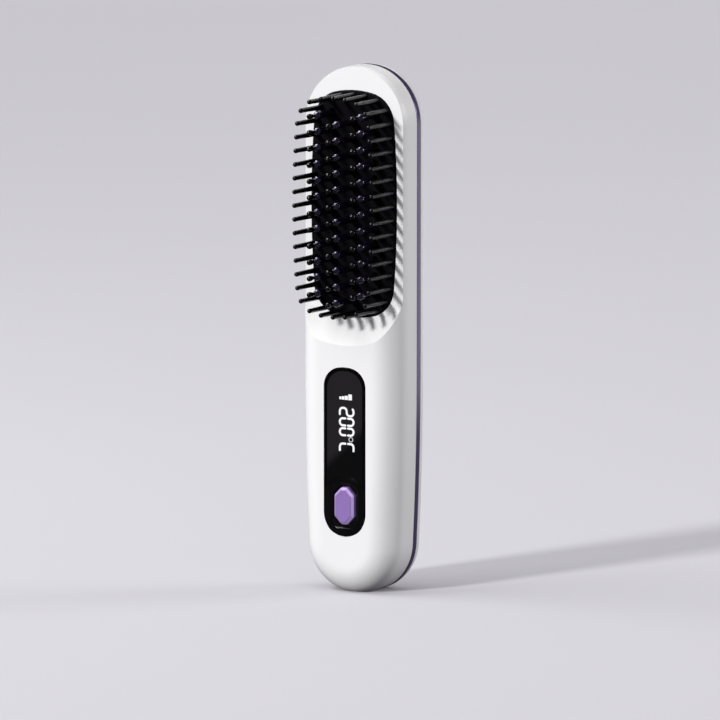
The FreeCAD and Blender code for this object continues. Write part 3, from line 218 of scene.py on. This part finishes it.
def lens_material(bottom, top, half):
    """Smoked panel: a black printed border round a window over the display. Above a slanting line
    the window carries a painted reflection, and below it a painted shade.
    """
    border, fade, squareness = 1.35, 0.25, 2.3
    # The slant splits the window into a painted reflection above and a painted shade below, where
    # it keeps only the share dim of its tone.
    slope, painted_shade_below, painted_reflection_above, dim = 0.9, 53.0, 59.0, 0.15
    black = (0.0020, 0.0020, 0.0021)
    smoke_tones = (0.0160, 0.0144, 0.0160), (0.0182, 0.0164, 0.0182)
    ripple, ripple_depth = 400.0, 0.0006
    middle = (bottom + top) / 2
    straight = (top - bottom) / 2 - half
    material, tree, shader = new_material("smoked_panel", roughness=0.07, specular_ior_level=0.04)
    axes = object_axes(tree)
    across, up = axes["X"], axes["Z"]
    from_middle = math_node(tree, "ABSOLUTE", math_node(tree, "SUBTRACT", up, middle * MM))
    past_straight = math_node(tree, "SUBTRACT", from_middle, straight * MM)
    past_straight = math_node(tree, "MAXIMUM", past_straight, 0.0)
    powers = math_node(tree, "ADD",
                       math_node(tree, "POWER", math_node(tree, "ABSOLUTE", across), squareness),
                       math_node(tree, "POWER", past_straight, squareness))
    outwards = math_node(tree, "POWER", powers, 1 / squareness)
    edge = half - border
    window = ramp(tree, outwards, (edge - fade) * MM, (edge + fade) * MM, 1.0, 0.0)
    slant = math_node(tree, "SUBTRACT", up, math_node(tree, "MULTIPLY", across, slope))
    # Painted reflection and painted shade: the window's tone is scaled down below the slanting
    # line.
    painted_reflection = ramp(tree, slant, painted_shade_below * MM, painted_reflection_above * MM, dim, 1.0)
    smoke = mixed(tree, noise(tree, 90.0, CLOUD_DETAIL), *smoke_tones)
    clear = math_node(tree, "MULTIPLY", window, painted_reflection)
    feed(tree, shader.inputs["Base Color"], mixed(tree, clear, black, smoke))
    height = noise(tree, ripple, 1.0)
    feed(tree, shader.inputs["Normal"], relief(tree, height, GRAIN_STRENGTH, ripple_depth))
    return material


def button_material(front):
    """Satin lavender moulding with a painted highlight: its bevel is painted paler than its face,
    and paler still towards +X, where light catches it.
    """
    face_tones = (0.265, 0.165, 0.44), (0.285, 0.180, 0.47)
    # Painted highlight on the bevel: a pale tone on the -X side and a paler one on the +X side.
    highlight_bevel_tones = (0.42, 0.30, 0.61), (0.64, 0.46, 0.95)
    bevel_start, bevel_end = 0.02, 0.30
    left, right = -3.0, 3.5
    grain_depth = 0.006
    material, tree, shader = new_material("button_lavender", specular_ior_level=0.2)
    axes = object_axes(tree)
    behind = math_node(tree, "ADD", axes["Y"], front * MM)
    bevel = ramp(tree, behind, bevel_start * MM, bevel_end * MM, 0.0, 1.0)
    face = mixed(tree, noise(tree, 160.0, CLOUD_DETAIL), *face_tones)
    # Painted highlight: the bevel's tone lightens towards +X, as if lit from that side.
    side = ramp(tree, axes["X"], left * MM, right * MM, 0.0, 1.0)
    painted_bevel_highlight = mixed(tree, side, *highlight_bevel_tones)
    feed(tree, shader.inputs["Base Color"], mixed(tree, bevel, face, painted_bevel_highlight))
    uneven_gloss(tree, shader, 300.0, (0.28, 0.36))
    height = noise(tree, GRAIN, GRAIN_DETAIL)
    feed(tree, shader.inputs["Normal"], relief(tree, height, GRAIN_STRENGTH, grain_depth))
    return material


def light_material():
    """Lit white segments of slightly uneven brightness."""
    material, tree, shader = new_material(
        "lit_segment", base_color=(0.02, 0.02, 0.02, 1.0), roughness=0.3,
        emission_color=(0.97, 0.98, 1.0, 1.0))
    glow = ramp(tree, noise(tree, 700.0, 1.0), 0.2, 0.8, 0.9, 1.0)
    feed(tree, shader.inputs["Emission Strength"], glow)
    return material


LENS_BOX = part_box("display_lens")
LENS = lens_material(LENS_BOX[0].z / MM, LENS_BOX[1].z / MM, LENS_BOX[1].x / MM)
LIT = light_material()
BUTTON_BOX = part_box("power_button")
BUTTON = button_material(-BUTTON_BOX[0].y / MM)

NODE_MATERIALS = {
    "front_shell": WHITE, "rear_cover": WHITE, "accent_band": LAVENDER,
    "bristle_plate": PLATE, "edge_bristles": NYLON, "heated_teeth": COATING, "guard_tips": GUARD,
    "heating_plate": ALUMINIUM, "heater_clamp": ALUMINIUM, "ceramic_heater": CERAMIC,
    "mica_sheet": MICA, "temperature_sensor": GLASS_BEAD, "thermal_fuse": STEEL,
    "heater_leads": SILICONE, "display_lens": LENS, "lens_adhesive": TAPE,
    "power_button": BUTTON, "display_module": BLACK_PART, "main_board": BOARD,
    "charge_board": BOARD, "switch_body": BLACK_PART, "switch_plunger": IVORY_PART,
    "board_screws": STEEL, "heater_screws": STEEL, "case_screws": STEEL,
    "battery_cells": CELL_FILM, "battery_cradle": BLACK_PART, "cell_links": STEEL,
    "usb_shell": STEEL, "usb_tongue": BLACK_PART,
}
for node_name, node_material in NODE_MATERIALS.items():
    nodes[node_name].data.materials.clear()
    nodes[node_name].data.materials.append(node_material)


# Slender bristles with ball ends, and teeth with round shoulders and soft tips.
# A profile is a list of (radius, height) points from the foot to the tip, which is on the axis.

PIN_SIDES = 24
PIN_SPREAD = 1.6  # reaches across one pin's foot, and not to the next pin
FOOT_TOLERANCE = 0.05
ROOT_FLARE = [(1.3, 0.0), (1.13, 0.16), (1.04, 0.5), (1.0, 1.1)]
BRISTLE_NECK, BALL = 0.85, 0.93
SHANK_SHARES = (0.35, 0.7, 1.0)
BALL_STEPS, SHOULDER_STEPS, TIP_STEPS = 8, 12, 8
TOOTH_RADIUS, TOOTH_NECK, NECK_LENGTH, SHOULDER = 1.5, 0.65, 1.9, 1.3
BELOW_SHOULDER = 3.0  # a ring here keeps the shank's shading straight
GUARD_LENGTH, TIP_RADIUS = 4.2, 1.06
TIP_SWELL = [(TOOTH_NECK, 0.0), (0.70, 0.7), (0.82, 1.3), (0.97, 2.0), (TIP_RADIUS, 2.7)]


def pin_places(node):
    """(x, z, foot depth, tip depth) of each pin of a node, in millimetres."""
    spots = [Vector((v.co.x, v.co.z, -v.co.y)) / MM for v in nodes[node].data.vertices]
    foot = min(spot.z for spot in spots)
    groups = []
    for spot in (spot for spot in spots if spot.z < foot + FOOT_TOLERANCE):
        near = [group for group in groups
                if any((spot - other).length < PIN_SPREAD for other in group)]
        joined = [spot] + [other for group in near for other in group]
        groups = [group for group in groups if group not in near] + [joined]
    places = []
    for group in groups:
        x, z = ((min(s[axis] for s in group) + max(s[axis] for s in group)) / 2
                for axis in (0, 1))
        tip = max(spot.z for spot in spots if math.hypot(spot.x - x, spot.y - z) < PIN_SPREAD)
        places.append((x, z, foot, tip))
    return places


def bristle_profile(length):
    """A moulded root, a slight taper and a ball a little wider than the shank."""
    foot_radius, root_height = ROOT_FLARE[-1]
    centre = length - BALL
    start = math.asin(BRISTLE_NECK / BALL)
    below = centre - BALL * math.cos(start)
    profile = list(ROOT_FLARE)
    profile += [(foot_radius + (BRISTLE_NECK - foot_radius) * share,
                 root_height + (below - root_height) * share) for share in SHANK_SHARES]
    for step in range(1, BALL_STEPS):
        angle = math.pi - start - (math.pi - start) * step / BALL_STEPS
        profile.append((BALL * math.sin(angle), centre + BALL * math.cos(angle)))
    return profile + [(0.0, length)]


def tooth_profile(length):
    """A straight shank, a round shoulder and a narrow neck."""
    last = math.acos(TOOTH_NECK / TOOTH_RADIUS)
    start = length - NECK_LENGTH - SHOULDER * math.sin(last)
    profile = [(TOOTH_RADIUS, 0.0), (TOOTH_RADIUS, start - BELOW_SHOULDER)]
    for step in range(SHOULDER_STEPS + 1):
        turn = last * step / SHOULDER_STEPS
        profile.append((TOOTH_RADIUS * math.cos(turn), start + SHOULDER * math.sin(turn)))
    return profile + [(TOOTH_NECK, length), (0.0, length)]


def guard_profile(length):
    """A narrow neck that swells into a round tip."""
    centre = length - TIP_RADIUS
    profile = list(TIP_SWELL)
    for step in range(TIP_STEPS):
        turn = math.pi / 2 * step / TIP_STEPS
        profile.append((TIP_RADIUS * math.cos(turn), centre + TIP_RADIUS * math.sin(turn)))
    return profile + [(0.0, length)]


def turned(profile, foot, vertices, faces):
    """Adds one pin that points to -Y."""
    base = len(vertices)
    for radius, height in profile[:-1]:
        for number in range(PIN_SIDES):
            angle = 2 * math.pi * number / PIN_SIDES
            spoke = Vector((radius * math.cos(angle), -height, radius * math.sin(angle)))
            vertices.append(foot + spoke * MM)
    vertices.append(foot + Vector((0, -profile[-1][1], 0)) * MM)
    rings = len(profile) - 1
    for ring in range(rings - 1):
        for number in range(PIN_SIDES):
            a = base + ring * PIN_SIDES + number
            b = base + ring * PIN_SIDES + (number + 1) % PIN_SIDES
            faces.append((a, b, b + PIN_SIDES, a + PIN_SIDES))
    last = base + (rings - 1) * PIN_SIDES
    for number in range(PIN_SIDES):
        faces.append((last + number, last + (number + 1) % PIN_SIDES, len(vertices) - 1))
    faces.append(tuple(base + number for number in reversed(range(PIN_SIDES))))


def pin_field(name, node, material, pins):
    """One object of turned pins that stands in for a node; pins are (profile, foot)."""
    vertices, faces = [], []
    for profile, foot in pins:
        turned(profile, foot, vertices, faces)
    field = new_object(name, vertices, faces)
    field.data.materials.append(material)
    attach(field, "casing")
    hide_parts(node)


def make_pins():
    bristles = pin_places("edge_bristles")
    pin_field("slender_bristles", "edge_bristles", NYLON,
              [(bristle_profile(tip - foot), point(x, foot, z)) for x, z, foot, tip in bristles])
    teeth = pin_places("heated_teeth")
    pin_field("round_shouldered_teeth", "heated_teeth", COATING,
              [(tooth_profile(tip - foot), point(x, foot, z)) for x, z, foot, tip in teeth])
    pin_field("soft_tips", "guard_tips", GUARD,
              [(guard_profile(GUARD_LENGTH), point(x, tip, z)) for x, z, foot, tip in teeth])


make_pins()


# Low lip that the panel raises round the button's opening.
# Its section is (distance out from the button, height above the panel); both edges are sunk.

LIP_CORNER, LIP_STEPS = 3.3, 14
LIP_SECTION = (
    (0.22, -0.15), (0.25, -0.05), (0.30, 0.04), (0.40, 0.15), (0.54, 0.28), (0.70, 0.365),
    (0.90, 0.40), (1.20, 0.39), (1.60, 0.33), (2.10, 0.23), (2.60, 0.125), (3.00, 0.04),
    (3.25, -0.01), (3.45, -0.05), (3.50, -0.15))


def lip_ring(offset):
    """(x, z) points of the button's rounded outline, grown by an offset."""
    low, high = BUTTON_BOX[0] / MM, BUTTON_BOX[1] / MM
    corners = (high.x, high.z), (low.x, high.z), (low.x, low.z), (high.x, low.z)
    spots = []
    for quarter, (x, z) in enumerate(corners):
        centre_x = x - math.copysign(LIP_CORNER, x)
        centre_z = z - math.copysign(LIP_CORNER, z - (low.z + high.z) / 2)
        for step in range(LIP_STEPS + 1):
            angle = math.pi / 2 * (quarter + step / LIP_STEPS)
            spots.append((centre_x + (LIP_CORNER + offset) * math.cos(angle),
                          centre_z + (LIP_CORNER + offset) * math.sin(angle)))
    return spots


def make_lip():
    face = -LENS_BOX[0].y / MM
    vertices, faces = [], []
    for offset, height in LIP_SECTION:
        vertices.extend(point(x, face + height, z) for x, z in lip_ring(offset))
    rings = len(LIP_SECTION)
    count = len(vertices) // rings
    for ring in range(rings):
        here, there = ring * count, (ring + 1) % rings * count
        for number in range(count):
            after = (number + 1) % count
            faces.append((here + number, there + number, there + after, here + after))
    lip = new_object("panel_lip", vertices, faces)
    lip.data.materials.append(LIP)
    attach(lip, "casing")


make_lip()


# Lit display: level bars, digits and unit, reading downwards with their tops to +X.
# Places on its face are (x, z).

DISPLAY_FACE, STROKE_RISE = 17.0, 0.05
STROKE = 0.42  # half the width of a glyph's stroke
GLYPH_LOW, GLYPH_HIGH = -2.05, 3.92
GLYPH_MIDDLE = (GLYPH_LOW + GLYPH_HIGH) / 2
GLYPH_ROUND, ROUND_STEPS, CAP_STEPS = 1.3, 8, 6
HALF_GAP = 0.58  # between the upper and the lower half of a glyph
HOOK, HOOK_START, TAIL_CUT = 1.45, 5, 0.55  # where the figure 2 starts and stops short
GLYPHS = (("2", 71.48, 3.85), ("0", 67.50, 3.55), ("0", 63.72, 3.50), ("C", 57.85, 3.40))
RING_X, RING_Z, RING_RADIUS, RING_HALF_WIDTH, RING_STEPS = 2.75, 59.10, 0.86, 0.10, 24
LEVEL_BARS = (  # left, right, foot and height
    (-2.25, -1.35, 74.27, 1.02), (-1.20, -0.05, 74.22, 1.25),
    (0.10, 1.45, 74.18, 1.55), (1.65, 3.20, 74.15, 2.20))


def rounded(path):
    """A polyline whose square corners are rounded."""
    points = [Vector(p) for p in path]
    result = [points[0]]
    for before, corner, after in zip(points, points[1:], points[2:]):
        to_before, to_after = (before - corner).normalized(), (after - corner).normalized()
        start, end = corner + to_before * GLYPH_ROUND, corner + to_after * GLYPH_ROUND
        centre = corner + (to_before + to_after) * GLYPH_ROUND
        for step in range(ROUND_STEPS + 1):
            turn = math.pi / 2 * step / ROUND_STEPS
            spoke = (start - centre) * math.cos(turn) + (end - centre) * math.sin(turn)
            result.append(centre + spoke)
    result.append(points[-1])
    return result


def cap(end, normal, way):
    """The round end of a stroke, between its two sides."""
    spots = []
    for step in range(1, CAP_STEPS):
        angle = math.pi * step / CAP_STEPS
        spots.append(end + (normal * math.cos(angle) + way * math.sin(angle)) * STROKE)
    return spots


def raised_outline(outline, vertices, faces):
    """Closes an outline, anticlockwise from the front, into a thin bead."""
    base, count = len(vertices), len(outline)
    for depth in (DISPLAY_FACE - STROKE_RISE, DISPLAY_FACE + STROKE_RISE):
        vertices.extend(point(spot.x, depth, spot.y) for spot in outline)
    front = base + count
    for number in range(count):
        after = (number + 1) % count
        faces.append((base + number, base + after, front + after, front + number))
    faces.append(tuple(base + number for number in reversed(range(count))))
    faces.append(tuple(front + number for number in range(count)))


def stroke(path, vertices, faces):
    """A flat bead along a path, with round ends."""
    normals = []
    for number in range(len(path)):
        before, after = path[max(number - 1, 0)], path[min(number + 1, len(path) - 1)]
        way = (after - before).normalized()
        normals.append(Vector((-way.y, way.x)))
    first, last = (path[1] - path[0]).normalized(), (path[-1] - path[-2]).normalized()
    sides = list(zip(path, normals))
    outline = [spot + normal * STROKE for spot, normal in sides]
    outline += cap(path[-1], normals[-1], last)
    outline += [spot - normal * STROKE for spot, normal in reversed(sides)]
    outline += cap(path[0], -normals[0], -first)
    raised_outline(outline[::-1], vertices, faces)


def degree_ring(vertices, faces):
    """A closed flat ring."""
    base = len(vertices)
    for radius in (RING_RADIUS + RING_HALF_WIDTH, RING_RADIUS - RING_HALF_WIDTH):
        for depth in (DISPLAY_FACE - STROKE_RISE, DISPLAY_FACE + STROKE_RISE):
            for step in range(RING_STEPS):
                angle = 2 * math.pi * step / RING_STEPS
                vertices.append(point(RING_X + radius * math.cos(angle), depth,
                                      RING_Z + radius * math.sin(angle)))
    outer_back, outer_front, inner_back, inner_front = (
        base + RING_STEPS * part for part in range(4))
    around = (outer_back, outer_front, inner_front, inner_back, outer_back)
    for number in range(RING_STEPS):
        after = (number + 1) % RING_STEPS
        for here, there in zip(around, around[1:]):
            faces.append((here + number, here + after, there + after, there + number))


def glyph_strokes(kind, start, width):
    """Strokes of one glyph whose left side is at height start; the text runs down from there."""
    top, end = start - STROKE, start - width + STROKE
    low, high, middle = GLYPH_LOW, GLYPH_HIGH, GLYPH_MIDDLE
    if kind == "2":
        return [[(high - HOOK, top), (high, top), (high, end), (middle, end), (middle, top),
                 (low, top), (low, end + TAIL_CUT)]]
    upper = [(middle + HALF_GAP, top), (high, top), (high, end)]
    lower = [(middle - HALF_GAP, top), (low, top), (low, end)]
    if kind == "0":
        upper.append((middle + HALF_GAP, end))
        lower.append((middle - HALF_GAP, end))
    return [upper, lower]


def make_display():
    vertices, faces = [], []
    for kind, start, width in GLYPHS:
        for path in glyph_strokes(kind, start, width):
            spots = rounded(path)
            stroke(spots[HOOK_START:] if kind == "2" else spots, vertices, faces)
    degree_ring(vertices, faces)
    for left, right, foot, height in LEVEL_BARS:
        head = foot + height
        bar = [(left, foot), (right, foot), (right, head), (left, head)]
        raised_outline([Vector(spot) for spot in bar], vertices, faces)
    display = new_object("display_digits", vertices, faces, smooth=False)
    display.data.materials.append(LIT)
    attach(display, "casing")


make_display()


# Floor, light and camera

FLOOR_HALF = 8.0
LAMP_TARGET = (0, 0, 0.15)


def floor_material():
    """Pale to the eye and dim in the light that it throws back on the brush. Mirrored in the
    brush, it is bright only far behind, so that the band fades from pale to dark."""
    pale_tones = (0.66, 0.65, 0.69), (0.68, 0.67, 0.71)
    dim, bright = (0.10, 0.095, 0.11), (0.96, 0.94, 1.0)
    behind, bright_start, bright_full = (0.5, 0.866, 0.0), 0.38, 0.54
    grain, grain_depth = 300.0, 0.02
    material, tree, shader = new_material("pale_floor", specular_ior_level=0.0)
    rays = tree.nodes.new("ShaderNodeLightPath").outputs
    distance = towards(tree, object_place(tree), behind)
    far = ramp(tree, distance, bright_start, bright_full, 0.0, 1.0)
    mirrored = math_node(tree, "MULTIPLY", rays["Is Glossy Ray"], far)
    thrown = mixed(tree, mirrored, dim, bright)
    pale = mixed(tree, noise(tree, 3.0, CLOUD_DETAIL), *pale_tones)
    feed(tree, shader.inputs["Base Color"], mixed(tree, rays["Is Camera Ray"], thrown, pale))
    uneven_gloss(tree, shader, 21.0, (0.75, 0.85))
    height = noise(tree, grain)
    feed(tree, shader.inputs["Normal"], relief(tree, height, GRAIN_STRENGTH, grain_depth))
    return material


def make_floor():
    side = FLOOR_HALF
    corners = [(-side, -side, 0), (side, -side, 0), (side, side, 0), (-side, side, 0)]
    floor = new_object("floor", corners, [(0, 1, 2, 3)], smooth=False)
    floor.data.materials.append(floor_material())


def lamp(name, kind, energy, place, along=(0, 0, 1), **settings):
    """A lamp that faces the brush, with its first side turned along a direction."""
    data = bpy.data.lights.new(name, kind)
    data.energy = energy
    for setting, amount in settings.items():
        setattr(data, setting, amount)
    item = bpy.data.objects.new(name, data)
    back = (Vector(place) - Vector(LAMP_TARGET)).normalized()
    up = back.cross(Vector(along)).normalized()
    turn = Matrix((up.cross(back), up, back)).transposed()
    item.matrix_world = Matrix.Translation(place) @ turn.to_4x4()
    item.visible_camera = False
    bpy.context.scene.collection.objects.link(item)


def make_world():
    """Even light from all round; glossy surfaces mirror a soft box overhead in a dim room."""
    colour, strength = (0.99, 0.985, 1.0, 1.0), 0.50
    room, box = 0.05, 9.5
    overhead, overhead_start, overhead_full = (-0.45, 0.0, 0.89), 0.80, 0.92
    behind = (0.375, 0.906, 0.197)
    front_start, front_full, back_full, back_end = -0.42, -0.12, 0.05, 0.25
    world = bpy.data.worlds.new("studio")
    world.use_nodes = True
    tree = world.node_tree
    background = tree.nodes["Background"]
    background.inputs["Color"].default_value = colour
    direction = tree.nodes.new("ShaderNodeTexCoord").outputs["Generated"]
    along = ramp(tree, towards(tree, direction, overhead), overhead_start, overhead_full, 0.0, 1.0)
    depth = towards(tree, direction, behind)
    across = math_node(tree, "MULTIPLY",
                       ramp(tree, depth, front_start, front_full, 0.0, 1.0),
                       ramp(tree, depth, back_full, back_end, 1.0, 0.0))
    soft_box = ramp(tree, math_node(tree, "MULTIPLY", along, across), 0.0, 1.0, room, box)
    mirrored = tree.nodes.new("ShaderNodeLightPath").outputs["Is Glossy Ray"]
    more = math_node(tree, "SUBTRACT", soft_box, strength)
    more = math_node(tree, "MULTIPLY", mirrored, more)
    feed(tree, background.inputs["Strength"], math_node(tree, "ADD", more, strength))
    bpy.context.scene.world = world


def make_lamps():
    lamp("key", "SUN", 2.4, (-0.36, -1.0, 0.56), angle=math.radians(8.0))
    lamp("overhead", "AREA", 4.8, (-0.72, -0.36, 1.04), along=(-0.65, 0.68, -0.33),
         shape="RECTANGLE", size=0.9, size_y=0.45)
    lamp("rim", "SUN", 1.2, (0.85, 0.75, 0.42), angle=math.radians(25.0))


def make_camera():
    """The photograph's viewpoint: 30 degrees to the side and 7.9 degrees above, from 3 metres."""
    azimuth, elevation, distance = math.radians(30.0), math.radians(7.9), 3.0
    middle = Vector((0, 0, 0.1))
    aside, below = 2.674 * MM, 12.59 * MM
    back = Vector((math.sin(azimuth) * math.cos(elevation),
                   -math.cos(azimuth) * math.cos(elevation),
                   math.sin(elevation)))
    right = Vector((math.cos(azimuth), math.sin(azimuth), 0.0))
    up = back.cross(right)
    place = middle + back * distance - right * aside - up * below
    lens = bpy.data.cameras.new("photo_camera")
    lens.lens = 395.85
    lens.sensor_width = 36.0
    lens.clip_end = 100.0
    camera = bpy.data.objects.new("photo_camera", lens)
    turn = Matrix((right, up, back)).transposed()
    camera.matrix_world = Matrix.Translation(place) @ turn.to_4x4()
    bpy.context.scene.collection.objects.link(camera)
    bpy.context.scene.camera = camera


make_floor()
make_world()
make_lamps()
make_camera()
bpy.context.scene.view_settings.view_transform = "Standard"
